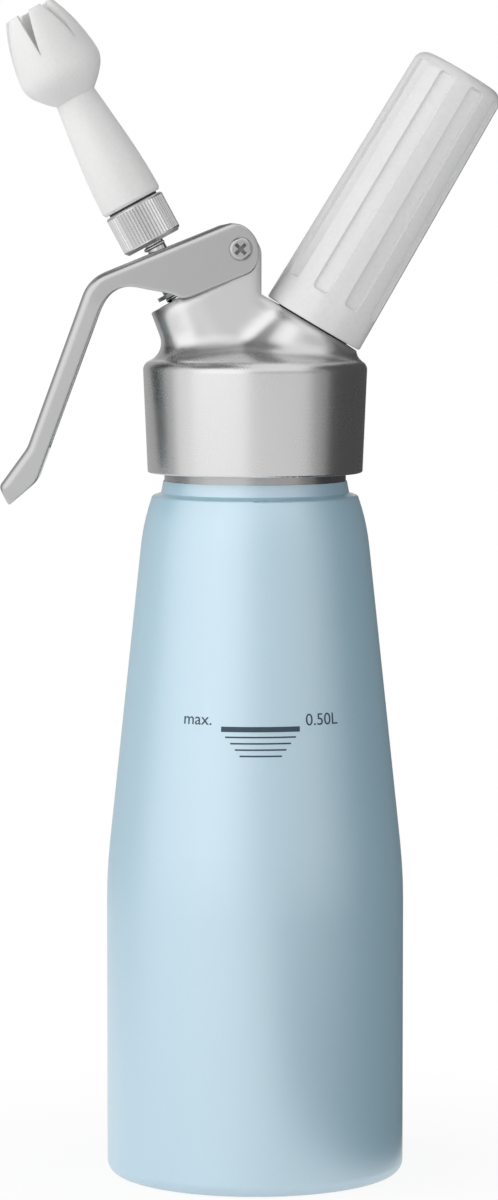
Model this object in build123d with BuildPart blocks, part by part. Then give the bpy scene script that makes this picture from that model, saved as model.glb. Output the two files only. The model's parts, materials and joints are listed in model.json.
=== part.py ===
from build123d import *
from collections import namedtuple
from math import atan, cos, degrees, radians, sin, tan
import os

# Whipped cream dispenser for 0.5 litre, in millimetres.
# +Z is up, the origin is on the bottle's axis on the plane that it stands on.
# The decorating tip and the lever point to -X, the charger holder to +X.
# The whole dispenser is symmetric about the XZ plane.

# ---------------------------------------------------------------- driving dimensions

# bottle
bottle_radius = 39.0
bottle_wall = 1.2
base_thickness = 1.6
base_edge_radius = 3.2
base_groove_radius = 28.0
base_groove_width = 1.6
base_groove_depth = 0.5
straight_height = 72.1       # where the straight lower body ends
taper_bend_radius = 143.0
waist_radius = 29.9          # body radius where the shoulder starts to round in
waist_height = 165.4
shoulder_rise = 13.5         # from there to the collar
shoulder_bend_radius = 57.0
shoulder_bend_angle = 13.2
shoulder_edge_radius = 1.0
ledge_direction = 175.0      # degrees, of the ledge between shoulder and collar
ledge_rise = 0.5
collar_foot_radius = 24.6    # lacquered collar between the shoulder and the bare neck
collar_top_radius = 24.0
collar_height = 3.65
neck_band_radius = 23.75
neck_band_height = 3.2
neck_root_radius = 23.1
neck_wall = 1.9
mouth_edge_fillet = 0.75
neck_run_in = 2.4            # from the shoulder's top down to the bore's foot, inside
mouth_rise = 20.0            # bottle mouth above the skirt's lower edge
skirt_gap = 2.1              # bare neck that shows below the skirt

# clearances
thread_clearance = 0.3       # radial, coarse threads
stem_thread_clearance = 0.2
running_clearance = 0.06     # radial, shafts that turn or slide
seat_gap = 0.1               # between flat faces that seat on each other across a joint
side_gap = 0.3               # between the lug and each lever cheek

# fineness of searches
match_distance = 0.01        # an edge this near to a place is the one meant
taper_passes = 20            # the taper's lean settles long before the last

# screw threads: pitch, depth, width at the root, width at the crest
Thread = namedtuple("Thread", "pitch depth root_width crest_width")
neck_thread = Thread(3.5, 1.1, 2.0, 0.9)
charger_thread = Thread(2.5, 0.8, 1.3, 0.6)
stem_thread = Thread(1.5, 0.45, 0.75, 0.35)
ridge_bury = 0.25            # how far a thread ridge reaches into its cylinder
neck_thread_start = 2.7      # above the skirt's lower edge
neck_thread_turns = 4.4
skirt_thread_turns = 4.0
boss_thread_start = 1.2      # above the holder's base plane, along the charger axis
boss_thread_turns = 3.3
holder_thread_turns = 3.0
stem_thread_start = 1.2      # above the adapter's lower face, along the stem axis
stem_thread_turns = 3.4
adapter_thread_turns = 2.9

# head casting, heights above the skirt's lower edge
skirt_foot_radius = 28.1
skirt_rim_radius = 29.35
skirt_foot_chamfer = 0.5
rim_height = 28.7
rim_fillet = 2.6
dome_edge_radius = 26.6
dome_edge_rise = 0.8         # of the dome's corner above the rim's
dome_slope = 11.6            # degrees
dome_edge_fillet = 4.0
gasket_thickness = 2.3
gasket_inner_radius = 20.1
tower_half_width = 9.25      # also the radius of the nose
nose_lean = 20.4             # of the nose's front, from vertical
tower_edge_fillet = 0.5
tower_fillet = 5.0
boss_fillet = 3.5

# lever pivot, from the bottle's axis and the skirt's lower edge
pivot_x = -3.75
pivot_height = 58.3
lug_radius = 5.4
lug_drop = 1.5               # lug's round top is centred this far below the pivot
sleeve_radius = 2.3
lever_sheet = 1.5
screw_head_radius = 3.05
screw_head_height = 1.7
screw_radius = 1.5
screw_length = 14.0
screw_head_edge = 0.9
screw_recess_width = 0.9
screw_recess_span = 3.6
screw_recess_depth = 1.0
sleeve_head_radius = 3.4
sleeve_head_height = 1.2

# stem axis: tilted towards -X, at lever_arm from the pivot
stem_tilt = 28.3
lever_arm = 19.25
adapter_rise = 12.83         # adapter's lower face above the pivot, along the stem axis
nose_drop = 16.45            # the drops are below the adapter's lower face, along the stem axis
collar_flange_drop = 14.1
collar_flange_height = 1.0
guide_drop = 28.6
guide_flange_height = 2.4
guide_flange_radius = 6.6
guide_sleeve_length = 5.6
guide_sleeve_radius = 4.4
pocket_radius = 6.7
seat_drop = 45.3
seat_boss_radius = 7.6
seat_boss_length = 12.0
seat_clear_radius = 6.6
passage_radius = 3.7

# valve stem
stem_radius = 3.1
stem_neck_radius = 2.55      # through the collar, the lever's web and the adapter
stem_channel_radius = 1.4
stem_foot_radius = 5.4
stem_foot_height = 1.6
stem_waist_radius = 2.3
stem_waist_drop = 39.0
inlet_hole_radius = 0.9
inlet_hole_drop = 41.0
seal_thickness = 2.2
seal_outer_radius = 5.6
o_ring_gland = 1.4           # length of the gland below the guide

# spring and collar
collar_radius = 4.2
collar_flange_radius = 6.1
collar_edge = 1.0
spring_wire_radius = 0.45
spring_mean_radius = 3.85
spring_turns = 6.5
clip_wire_radius = 0.5
clip_groove_depth = 0.3
clip_drop = 1.6
clip_opening = 70.0          # degrees
clip_groove_gap = 0.03

# adapter, tip ring and decorating tip, rises along the stem axis
adapter_radius = 8.1
adapter_height = 10.3
adapter_foot_drop = 0.8      # of the adapter's outside below the rises' zero
adapter_foot_chamfer = 0.9
adapter_top_chamfer = 0.4
knurl_count = 54
knurl_depth = 0.35
knurl_width = 0.8
knurl_foot = 0.4             # the knurl runs from here to knurl_margin below the top
knurl_margin = 0.7
stub_radius = 5.3
stub_rise = 19.1
stub_channel_radius = 2.2
adapter_roof = 0.5           # over the seal
adapter_seal_thickness = 0.9
adapter_seal_bore = 1.6
ring_radius = 6.85
ring_height = 0.6
tip_foot_radius = 8.25
tip_foot_edge = 0.4
tip_barrel = [(8.25, 11.65), (7.9, 20.5), (6.87, 31.0), (5.55, 42.0)] # radius, rise
tip_tulip = [(8.75, 45.15), (10.95, 48.9), (10.9, 53.35), (9.03, 61.75), (6.78, 67.4)]
tip_hollow = [(3.3, 43.8), (6.6, 46.5), (9.25, 50.0), (9.25, 53.5), (7.37, 61.45), (5.3, 67.4)]
tip_channel_radius = 3.3
tip_socket_gap = 0.2
tip_slot_count = 6
tip_slot_length = 12.1
tip_slot_width = 3.5         # at the crown
tip_slot_turn = -13.9        # of one slot, from the side that faces -Y

# lever outline, from the pivot
web_slope = 22.1
web_rise = 7.7               # web's top above the pivot, square to the web
cheek_drop = 6.75            # cheek's lower edge below the pivot, square to it
crest_start_distance = -2.95 # where the web's top starts to round down, along the web
cheek_front_distance = -13.8 # straight part of the cheek's lower edge, along the web
cheek_back_distance = -1.0
heel_points = [(4.43, -3.15), (4.8, -0.6), (4.2, 2.1), (2.2, 4.85), (-0.4, 6.35), (-2.3, 6.62)]
belly_points = [(-33.7, -11.7), (-29.55, -9.8), (-24.15, -10.45), (-17.05, -11.97)]
lever_tip_half_width = 7.2
lever_taper_start = -13.8    # height from which the grip narrows
lever_taper_bend = 30.0
lever_tip_round = 6.0
lever_tip_margin = 0.3       # left below the lever's end by its front outline
lever_edge_fillet = 1.9
knee_radius = 10.3
grip_slope = 20.2            # of the grip, from vertical
grip_thickness = 5.4
grip_top = (-44.8, -22.45)   # a point on the grip's outer face
grip_inner_top = -20.2       # height where the grip's inner face starts
kick_height = -51.6
kick_radius = 8.9
tip_outer = (-62.9, -61.7)
tip_outer_radius = 1.6
tip_end = (-60.6, -66.9)
tip_end_radius = 0.6
kick_inner_height = -60.3
kick_inner_radius = 4.5
pocket_end = -45.3           # height of the channel's lower end
pocket_end_length = 8.9
pocket_end_radius = 8.0
front_reach = 80.0           # past the lever's ends on both sides of the pivot
web_back_distance = 0.4      # the web's back edge, along the web
lever_travel = 11.0          # degrees
slot_clearance = 0.45

# charger axis: tilted towards +X, through the centre of the holder's base
charger_tilt = 30.6
holder_x = 15.2
holder_rise = 10.17          # above the rim
boss_radius = 13.3
boss_draft = 12.0            # degrees
boss_gap = 0.4
spigot_root_radius = 10.2
spigot_rise = 10.6
spigot_bore_radius = 4.9
charger_gasket_rise = 5.2    # rises are above the holder's base plane
charger_gasket_thickness = 1.6
charger_gasket_bore = 1.7
housing_depth = 5.0
housing_stub_length = 5.0
housing_stub_radius = 2.2
gas_channel_radius = 0.8
gas_hole_radius = 0.5
gas_hole_depth = 7.5
gas_port_depth = 24.0
check_sleeve_thickness = 0.9
check_sleeve_margin = 0.4
chamber_radius = 4.0
chamber_depth = 11.0
gas_port_radius = 1.3
pin_radius = 1.1
pin_bore_radius = 0.5
pin_edge = 0.15
pin_tip_rise = 9.0
pin_cone_length = 1.8
pin_foot_rise = 1.0

# charger and its holder
holder_length = 75.8
holder_base_radius = 13.9
holder_end_radius = 12.72
holder_end_fillet = 3.6
holder_thread_depth = 11.4
charger_clearance = 0.3
flute_count = 9
flute_width = 4.9
flute_depth = 1.0
flute_wall_lean = 28.0       # degrees, of the flute's walls
flute_start = 8.1
flute_end_margin = 2.3
flute_corner = 0.8
flute_turn = -13.8           # of one flute, from the side that faces -Y
holder_base_edge = 0.4
charger_rise = 7.0           # charger's neck end above the holder's base plane
charger_length = 65.5
charger_radius = 9.3
charger_neck_radius = 4.4
charger_neck_length = 6.5
charger_shoulder = 6.0
charger_wall = 1.3
charger_cap_thickness = 0.5

# ---------------------------------------------------------------- derived places

shoulder_height = waist_height + shoulder_rise
skirt_z = shoulder_height + collar_height + skirt_gap
mouth_z = skirt_z + mouth_rise
ceiling_z = mouth_z + gasket_thickness + 2 * seat_gap
neck_bore_radius = neck_root_radius - neck_wall
skirt_bore_radius = neck_root_radius + neck_thread.depth + thread_clearance
cheek_inner = tower_half_width + side_gap
lever_half_width = cheek_inner + lever_sheet

stem_up = Vector(-sin(radians(stem_tilt)), 0, cos(radians(stem_tilt)))
stem_side = Vector(cos(radians(stem_tilt)), 0, sin(radians(stem_tilt)))
charger_up = Vector(sin(radians(charger_tilt)), 0, cos(radians(charger_tilt)))
charger_side = Vector(cos(radians(charger_tilt)), 0, -sin(radians(charger_tilt)))
pivot = Vector(pivot_x, 0, skirt_z + pivot_height)
adapter_foot = pivot - stem_side * lever_arm + stem_up * adapter_rise
holder_foot = Vector(holder_x, 0, skirt_z + rim_height + holder_rise)

# turned pieces are drawn about their own Z axis and then set on one of these frames
stem_frame = Plane(origin=adapter_foot, x_dir=stem_side, z_dir=stem_up)
charger_frame = Plane(origin=holder_foot, x_dir=charger_side, z_dir=charger_up)
pivot_frame = Plane(origin=pivot, x_dir=(1, 0, 0), z_dir=(0, -1, 0))
neck_frame = Plane.XY.offset(skirt_z)

# the web's underside leans by web_lean against a plane square to the stem, at rest
web_lean = stem_tilt - web_slope
web_under = web_rise - lever_sheet
web_crossing_drop = adapter_rise - (
    web_under + lever_arm * sin(radians(web_lean))
) / cos(radians(web_lean))
collar_flat_radius = collar_radius - collar_edge
collar_top_drop = web_crossing_drop + collar_flat_radius * tan(radians(web_lean)) + seat_gap
collar_foot_drop = collar_flange_drop + collar_flange_height
web_along = Vector(cos(radians(web_slope)), 0, sin(radians(web_slope)))
web_normal = Vector(-sin(radians(web_slope)), 0, cos(radians(web_slope)))

guide_foot_drop = guide_drop + guide_flange_height + guide_sleeve_length
gland_foot_drop = guide_foot_drop + o_ring_gland
seal_drop = seat_drop + seat_gap
stem_foot_drop = seal_drop + seal_thickness + stem_foot_height
adapter_shoulder_rise = adapter_height - adapter_roof
adapter_bore_radius = stem_neck_radius + stem_thread.depth + stem_thread_clearance
adapter_seal_foot = adapter_shoulder_rise - seat_gap - adapter_seal_thickness
stem_top_rise = adapter_seal_foot - seat_gap
ring_top_rise = adapter_height + ring_height

holder_bore_radius = spigot_root_radius + charger_thread.depth + thread_clearance
charger_cavity_radius = charger_radius + charger_clearance
charger_end_rise = charger_rise + charger_length
holder_taper = degrees(atan((holder_base_radius - holder_end_radius) / holder_length))


def on_stem(side, rise):
    """Point beside the stem axis: side towards the pivot, rise above the adapter's lower face."""
    return adapter_foot + stem_side * side + stem_up * rise


def from_pivot(point):
    """A point of the XZ plane in the lever's own drawing, which starts at the pivot."""
    return (point.X - pivot.X, point.Z - pivot.Z)


def turned(*points):
    """Solid turned about Z from a closed outline of (radius, height) points."""
    with BuildPart() as made:
        with BuildSketch(Plane.XZ):
            with BuildLine():
                Polyline(*points, close=True)
            make_face()
        revolve(axis=Axis.Z)
    return made.part


def tube(inner, outer, low, high):
    """Ring about Z between two heights."""
    return turned((inner, low), (outer, low), (outer, high), (inner, high))


def rod(radius, low, high):
    """Cylinder about Z between two heights."""
    return turned((0, low), (radius, low), (radius, high), (0, high))


def thread_ridge(radius, thread, start, turns, inward=False):
    """Helical ridge about Z on a cylinder of this radius, pointing out, or inward in a bore."""
    out = -1 if inward else 1
    flank = (thread.root_width - thread.crest_width) / 2 / thread.depth
    buried_half = thread.root_width / 2 + ridge_bury * flank
    with BuildPart() as ridge:
        with BuildLine() as path:
            Helix(thread.pitch, thread.pitch * turns, radius, center=(0, 0, start))
        with BuildSketch(Plane(origin=(radius, 0, start), x_dir=(1, 0, 0), z_dir=(0, -1, 0))):
            with BuildLine():
                Polyline(
                    (-out * ridge_bury, -buried_half),
                    (out * thread.depth, -thread.crest_width / 2),
                    (out * thread.depth, thread.crest_width / 2),
                    (-out * ridge_bury, buried_half),
                    close=True,
                )
            make_face()
        sweep(path=path.line, is_frenet=True)
    return ridge.part


def on(frame, part):
    """The part moved from its own Z axis to a frame."""
    return part.moved(frame.location)


def save(part, name):
    """Label a finished piece and write it under its node's name."""
    part.label = name
    export_step(part, f"parts/{name}.step")


os.makedirs("parts", exist_ok=True)


# ---------------------------------------------------------------- bottle

def taper_lean(bend):
    """Lean of the tapered side, which leaves the straight body along a bend of this radius."""
    lean = 0.0
    for _ in range(taper_passes):
        run_in = bottle_radius - waist_radius - bend * (1 - cos(lean))
        lean = atan(run_in / (waist_height - straight_height - bend * sin(lean)))
    return lean


def shoulder_line(inset):
    """Taper and shoulder above the straight body, drawn parallel to the outside at inset."""
    lean = taper_lean(taper_bend_radius)
    start = (bottle_radius - inset, straight_height)
    waist = (waist_radius - inset * cos(lean), waist_height - inset * sin(lean))
    bend = JernArc(start, (0, 1), taper_bend_radius - inset, degrees(lean))
    Line(bend @ 1, waist)
    waist_dir = (-sin(lean), cos(lean))
    return JernArc(waist, waist_dir, shoulder_bend_radius - inset, shoulder_bend_angle)


with BuildPart() as bottle_shell:
    band_foot_z = skirt_z - skirt_gap
    band_top_z = band_foot_z + neck_band_height
    with BuildSketch(Plane.XZ):
        with BuildLine():
            Line((0, 0), (bottle_radius - base_edge_radius, 0))
            JernArc((bottle_radius - base_edge_radius, 0), (1, 0), base_edge_radius, 90)
            Line((bottle_radius, base_edge_radius), (bottle_radius, straight_height))
            shoulder = shoulder_line(0)
            edge_turn = ledge_direction - (shoulder % 1).get_angle(Vector(1, 0, 0))
            edge = JernArc(shoulder @ 1, shoulder % 1, shoulder_edge_radius, edge_turn)
            Polyline(
                edge @ 1,
                (collar_foot_radius, shoulder_height + ledge_rise),
                (collar_top_radius, band_foot_z),
                (neck_band_radius, band_foot_z),
                (neck_band_radius, band_top_z),
                (neck_root_radius, band_top_z),
                (neck_root_radius, mouth_z),
                (0, mouth_z),
                (0, 0),
            )
        make_face()
    revolve(axis=Axis.Z)
    mouth_edge = bottle_shell.edges().filter_by(GeomType.CIRCLE).sort_by(Axis.Z)[-1]
    fillet(mouth_edge, mouth_edge_fillet)
    with BuildSketch(Plane.XZ):
        with BuildLine():
            floor_corner = base_edge_radius - bottle_wall
            floor_edge = (bottle_radius - base_edge_radius, base_thickness)
            inner_side = bottle_radius - bottle_wall
            Line((0, base_thickness), floor_edge)
            JernArc(floor_edge, (1, 0), floor_corner, 90)
            Line((inner_side, base_thickness + floor_corner), (inner_side, straight_height))
            shoulder = shoulder_line(bottle_wall)
            Polyline(
                shoulder @ 1,
                (neck_bore_radius, shoulder_height - neck_run_in),
                (neck_bore_radius, mouth_z + 1),
                (0, mouth_z + 1),
                (0, base_thickness),
            )
        make_face()
    revolve(axis=Axis.Z, mode=Mode.SUBTRACT)
    half_groove = base_groove_width / 2
    add(
        tube(
            base_groove_radius - half_groove,
            base_groove_radius + half_groove,
            -1,
            base_groove_depth,
        ),
        mode=Mode.SUBTRACT,
    )
    neck_ridge = thread_ridge(
        neck_root_radius, neck_thread, neck_thread_start, neck_thread_turns
    )
    add(on(neck_frame, neck_ridge))
save(bottle_shell.part, "bottle_shell")

gasket_z = mouth_z + seat_gap
head_gasket = tube(
    gasket_inner_radius,
    skirt_bore_radius - thread_clearance,
    gasket_z,
    gasket_z + gasket_thickness,
)
save(head_gasket, "head_gasket")


# ---------------------------------------------------------------- head casting

def tower_solid():
    """Flat-sided tower with a round nose, cut to the outline of nose plane, lug and back."""
    nose_front = on_stem(-tower_half_width, -nose_drop)
    lean_up = Vector(-sin(radians(nose_lean)), 0, cos(radians(nose_lean)))
    lean_side = Vector(cos(radians(nose_lean)), 0, sin(radians(nose_lean)))
    nose_middle = nose_front + lean_side * tower_half_width
    foot_z = ceiling_z - 2
    foot = nose_middle - lean_up * ((nose_middle.Z - foot_z) / lean_up.Z)
    lug_middle = pivot - Vector(0, 0, lug_drop)
    lug_front = stem_frame.to_local_coords(lug_middle - Vector(lug_radius, 0, 0)).X
    reach = pivot_height * 2
    # the back runs down to the plane of the charger boss's face, and on to the boss's axis
    boss_face = holder_foot - charger_up * boss_gap
    back_x = pivot.X + lug_radius
    back_corner = boss_face - charger_side * ((boss_face.X - back_x) / charger_side.X)
    with BuildPart() as tower:
        with BuildSketch(Plane(origin=foot, x_dir=lean_side, z_dir=lean_up)):
            Circle(tower_half_width)
            with Locations((reach / 2, 0)):
                Rectangle(reach, 2 * tower_half_width)
        extrude(amount=reach)
        with BuildSketch(pivot_frame):
            with BuildLine():
                nose_left = from_pivot(on_stem(-2 * tower_half_width, -nose_drop))
                nose_right = from_pivot(on_stem(lug_front, -nose_drop))
                Polyline(
                    nose_left,
                    nose_right,
                    (-lug_radius, -lug_drop),
                    (lug_radius, -lug_drop),
                    from_pivot(back_corner),
                    from_pivot(boss_face),
                    (boss_face.X - pivot.X, foot_z - pivot.Z),
                    (nose_left[0], foot_z - pivot.Z),
                    close=True,
                )
            make_face()
            with Locations((0, -lug_drop)):
                Circle(lug_radius)
        extrude(amount=2 * tower_half_width, both=True, mode=Mode.INTERSECT)
        nose_plane = Plane(on_stem(0, -nose_drop), z_dir=stem_up)
        nose_top = tower.faces().filter_by(nose_plane).sort_by(Axis(nose_plane.origin, stem_up))[-1]
        fillet(nose_top.edges().sort_by(Axis.X)[:-1], tower_edge_fillet)
    return tower.part


# the boss reaches down to where the bottle's axis meets the bore's ceiling
boss_depth = (holder_foot - Vector(0, 0, ceiling_z)).dot(charger_up) - boss_gap
boss_foot_radius = boss_radius + boss_depth * tan(radians(boss_draft))
boss = turned(
    (0, -boss_gap),
    (boss_radius, -boss_gap),
    (boss_foot_radius, -boss_gap - boss_depth),
    (0, -boss_gap - boss_depth),
)
tower = tower_solid()

with BuildPart() as head_casting:
    # skirt and dome
    rim_z = skirt_z + rim_height
    dome_edge_z = rim_z + dome_edge_rise
    dome_top_z = dome_edge_z + dome_edge_radius * tan(radians(dome_slope))
    with BuildSketch(Plane.XZ):
        with BuildLine():
            outline = FilletPolyline(
                (0, skirt_z),
                (skirt_foot_radius, skirt_z),
                (skirt_rim_radius, rim_z),
                (dome_edge_radius, dome_edge_z),
                (0, dome_top_z),
                radius=[skirt_foot_chamfer, rim_fillet, dome_edge_fillet],
            )
            Line(outline @ 1, outline @ 0)
        make_face()
    revolve(axis=Axis.Z)
    # charger boss and tower, each blended into what it stands on
    add(on(charger_frame, boss))
    fillet(head_casting.edges(Select.NEW), boss_fillet)
    add(tower)
    fillet(head_casting.edges(Select.NEW), tower_fillet)
    # threaded bore over the bottle's neck
    add(
        turned(
            (0, skirt_z - 1),
            (skirt_bore_radius + 1, skirt_z - 1),
            (skirt_bore_radius, skirt_z + skirt_foot_chamfer),
            (skirt_bore_radius, ceiling_z),
            (0, ceiling_z),
        ),
        mode=Mode.SUBTRACT,
    )
    # valve seat: a boss below the ceiling, and a clear space around the seal
    add(on(stem_frame, rod(seat_boss_radius, -seat_drop, seat_boss_length - seat_drop)))
    add(
        on(stem_frame, rod(seat_clear_radius, -seat_drop - seat_boss_length, -seat_drop)),
        mode=Mode.SUBTRACT,
    )
    # spring pocket, guide bore, seal gland and cream passage
    stem_bore = turned(
        (0, -seat_drop - 1),
        (passage_radius, -seat_drop - 1),
        (passage_radius, -gland_foot_drop),
        (guide_sleeve_radius, -gland_foot_drop),
        (guide_sleeve_radius, -guide_drop - guide_flange_height),
        (pocket_radius, -guide_drop - guide_flange_height),
        (pocket_radius, 0),
        (0, 0),
    )
    add(on(stem_frame, stem_bore), mode=Mode.SUBTRACT)
    # pivot bore through the lug
    with BuildSketch(pivot_frame):
        Circle(sleeve_radius)
    extrude(amount=2 * tower_half_width, both=True, mode=Mode.SUBTRACT)
    # charger spigot with its thread, and the bores for insert, check valve and gas
    add(on(charger_frame, rod(spigot_root_radius, -boss_gap - 1, spigot_rise)))
    spigot_ridge = thread_ridge(
        spigot_root_radius, charger_thread, boss_thread_start, boss_thread_turns
    )
    add(on(charger_frame, spigot_ridge))
    gas_bore = turned(
        (0, -gas_port_depth),
        (gas_port_radius, -gas_port_depth),
        (gas_port_radius, -chamber_depth),
        (chamber_radius, -chamber_depth),
        (chamber_radius, -housing_depth),
        (spigot_bore_radius, -housing_depth),
        (spigot_bore_radius, spigot_rise + 1),
        (0, spigot_rise + 1),
    )
    add(on(charger_frame, gas_bore), mode=Mode.SUBTRACT)
    # inside thread of the skirt, half a pitch from the neck's
    skirt_ridge = thread_ridge(
        skirt_bore_radius,
        neck_thread,
        neck_thread_start + neck_thread.pitch / 2,
        skirt_thread_turns,
        inward=True,
    )
    add(on(neck_frame, skirt_ridge))
save(head_casting.part, "head_casting")


# ---------------------------------------------------------------- lever and pivot

# The lever is drawn from the pivot: web_point follows the web, grip_point the straight grip.
web_dir = Vector(cos(radians(web_slope)), sin(radians(web_slope)))
web_up = Vector(-sin(radians(web_slope)), cos(radians(web_slope)))
grip_dir = Vector(-sin(radians(grip_slope)), -cos(radians(grip_slope)))


def web_point(distance, rise):
    """Point at a distance along the web from the pivot's foot on it, and a rise square to it."""
    return web_dir * distance + web_up * rise


def grip_point(height, inset):
    """Point at a height, inset from the grip's outer face."""
    outer_x = grip_top[0] + (height - grip_top[1]) * grip_dir.X / grip_dir.Y
    return Vector(outer_x + inset / cos(radians(grip_slope)), height)


def knee_point(inset):
    """Corner between the web's top and the grip's outer face, both moved in by inset."""
    start = web_point(0, web_rise - inset)
    gap = grip_point(0, inset) - start
    cross = web_dir.X * grip_dir.Y - web_dir.Y * grip_dir.X
    return start + web_dir * ((gap.X * grip_dir.Y - gap.Y * grip_dir.X) / cross)


def front_outline(inset):
    """Half-width of the lever seen from the front, which narrows down the grip, as a closed line."""
    low = tip_end[1] - lever_tip_margin + inset
    top = Line((0, 2 * web_rise), (lever_half_width - inset, 2 * web_rise))
    side = FilletPolyline(
        top @ 1,
        (lever_half_width - inset, lever_taper_start),
        (lever_tip_half_width - inset, low),
        (0, low),
        radius=[lever_taper_bend, lever_tip_round - inset],
    )
    mirror([top, side], about=Plane.YZ)


def slot_distance(turn):
    """Where the stem axis crosses the web's underside, along the web, with the lever turned."""
    lean = radians(web_lean - turn)
    return -(lever_arm / cos(lean) + web_under * tan(lean))


with BuildPart() as lever_channel:
    # room between the cheeks: below the web, then down the grip to a ramp out of it
    with BuildSketch(Plane.XZ):
        with BuildLine():
            ramp_end = grip_point(pocket_end - pocket_end_length, grip_thickness + 1)
            bottom = FilletPolyline(
                web_point(web_back_distance, web_under),
                knee_point(lever_sheet),
                grip_point(pocket_end, lever_sheet),
                ramp_end,
                radius=[knee_radius - lever_sheet, pocket_end_radius],
            )
            Polyline(
                ramp_end,
                (2 * lug_radius, grip_inner_top),
                (2 * lug_radius, 2 * web_rise),
                web_point(web_back_distance, 2 * web_rise),
                bottom @ 0,
            )
        make_face()
    extrude(amount=cheek_inner, both=True)
    with BuildSketch(Plane.YZ):
        with BuildLine():
            front_outline(lever_sheet)
        make_face()
    extrude(amount=front_reach, both=True, mode=Mode.INTERSECT)

with BuildPart() as lever:
    with BuildSketch(Plane.XZ):
        with BuildLine():
            crest_start = web_point(crest_start_distance, web_rise)
            grip_inner_start = grip_point(grip_inner_top, grip_thickness)
            outer = FilletPolyline(
                crest_start,
                knee_point(0),
                grip_point(kick_height, 0),
                tip_outer,
                radius=[knee_radius, kick_radius],
            )
            Line(tip_outer, tip_end)
            FilletPolyline(
                tip_end,
                grip_point(kick_inner_height, grip_thickness),
                grip_inner_start,
                radius=kick_inner_radius,
            )
            cheek_front = web_point(cheek_front_distance, -cheek_drop)
            cheek_back = web_point(cheek_back_distance, -cheek_drop)
            Spline(grip_inner_start, *belly_points, cheek_front, tangents=[-grip_dir, web_dir])
            Line(cheek_front, cheek_back)
            crest_dir = (-1, -tan(radians(web_slope / 2)))
            Spline(cheek_back, *heel_points, crest_start, tangents=[web_dir, crest_dir])
        make_face()
    extrude(amount=lever_half_width, both=True)
    with BuildSketch(Plane.YZ):
        with BuildLine():
            front_outline(0)
        make_face()
    extrude(amount=front_reach, both=True, mode=Mode.INTERSECT)
    # rounded long edges of the web's top and the grip's outer face, then the rounded tip
    long_edges = []
    for edge in lever.edges():
        middle = edge @ 0.5
        on_outer = outer.distance_to(Vector(middle.X, middle.Z)) < match_distance
        if on_outer and middle.X < crest_start.X - 1 and abs(middle.Y) > 1:
            long_edges.append(edge)
    fillet(long_edges, lever_edge_fillet)
    tip_edges = [
        edge
        for edge in lever.edges().filter_by(Axis.Y)
        if (edge @ 0.5 - Vector(tip_outer[0], 0, tip_outer[1])).length < match_distance
    ]
    fillet(tip_edges, tip_outer_radius)
    end_edges = lever.edges().filter_by(Axis.Y).sort_by(Axis.Z)
    fillet(end_edges[0], tip_end_radius)
    add(lever_channel.part, mode=Mode.SUBTRACT)
    # slot for the stem, which swings along the web as the lever turns
    slot_near = slot_distance(lever_travel)
    slot_far = slot_distance(0)
    slot_radius = stem_neck_radius + slot_clearance
    with BuildSketch(Plane(origin=web_normal * web_under, x_dir=web_along, z_dir=web_normal)):
        with Locations(((slot_near + slot_far) / 2, 0)):
            SlotCenterToCenter(slot_near - slot_far, 2 * slot_radius)
    extrude(amount=2 * lever_sheet, both=True, mode=Mode.SUBTRACT)
    with BuildSketch(Plane.XZ):
        Circle(sleeve_radius + running_clearance)
    extrude(amount=2 * lever_half_width, both=True, mode=Mode.SUBTRACT)
lever_placed = lever.part.moved(Location(pivot))
save(lever_placed, "lever")

# sleeve through lug and cheeks, and the screw that runs into it from the -Y side
sleeve_half = lever_half_width + seat_gap
pivot_sleeve = on(
    pivot_frame,
    turned(
        (0, -sleeve_half - sleeve_head_height),
        (sleeve_head_radius, -sleeve_half - sleeve_head_height),
        (sleeve_head_radius, -sleeve_half),
        (sleeve_radius, -sleeve_half),
        (sleeve_radius, sleeve_half),
        (screw_radius, sleeve_half),
        (screw_radius, sleeve_half - screw_length),
        (0, sleeve_half - screw_length),
    ),
)
save(pivot_sleeve, "pivot_sleeve")

with BuildPart() as pivot_screw:
    head_top = sleeve_half + screw_head_height
    add(
        turned(
            (0, sleeve_half - screw_length),
            (screw_radius, sleeve_half - screw_length),
            (screw_radius, sleeve_half),
            (screw_head_radius, sleeve_half),
            (screw_head_radius, head_top),
            (0, head_top),
        )
    )
    fillet(pivot_screw.edges().sort_by(Axis.Z)[-1], screw_head_edge)
    with BuildSketch(Plane.XY.offset(head_top)):
        for turn in (45, 135):
            Rectangle(screw_recess_span, screw_recess_width, rotation=turn)
    extrude(amount=-screw_recess_depth, mode=Mode.SUBTRACT)
pivot_screw_placed = on(pivot_frame, pivot_screw.part)
save(pivot_screw_placed, "pivot_screw")


# ---------------------------------------------------------------- valve on the stem axis

with BuildPart() as valve_stem:
    channel_foot = inlet_hole_drop + 2 * inlet_hole_radius
    add(
        turned(
            (0, -stem_foot_drop),
            (stem_foot_radius, -stem_foot_drop),
            (stem_foot_radius, stem_foot_height - stem_foot_drop),
            (stem_waist_radius, stem_foot_height - stem_foot_drop),
            (stem_waist_radius, -stem_waist_drop),
            (stem_radius, -stem_waist_drop),
            (stem_radius, -collar_foot_drop),
            (stem_neck_radius, -collar_foot_drop),
            (stem_neck_radius, stem_top_rise),
            (stem_channel_radius, stem_top_rise),
            (stem_channel_radius, -channel_foot),
            (0, -channel_foot),
        )
    )
    with BuildSketch(Plane.XZ):
        with Locations((0, -inlet_hole_drop)):
            Circle(inlet_hole_radius)
    extrude(amount=stem_radius, both=True, mode=Mode.SUBTRACT)
    with BuildSketch(Plane.XZ):
        with Locations((stem_neck_radius - clip_groove_depth + clip_wire_radius, -clip_drop)):
            Circle(clip_wire_radius + clip_groove_gap)
    revolve(axis=Axis.Z, mode=Mode.SUBTRACT)
    add(thread_ridge(stem_neck_radius, stem_thread, stem_thread_start, stem_thread_turns))
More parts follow.
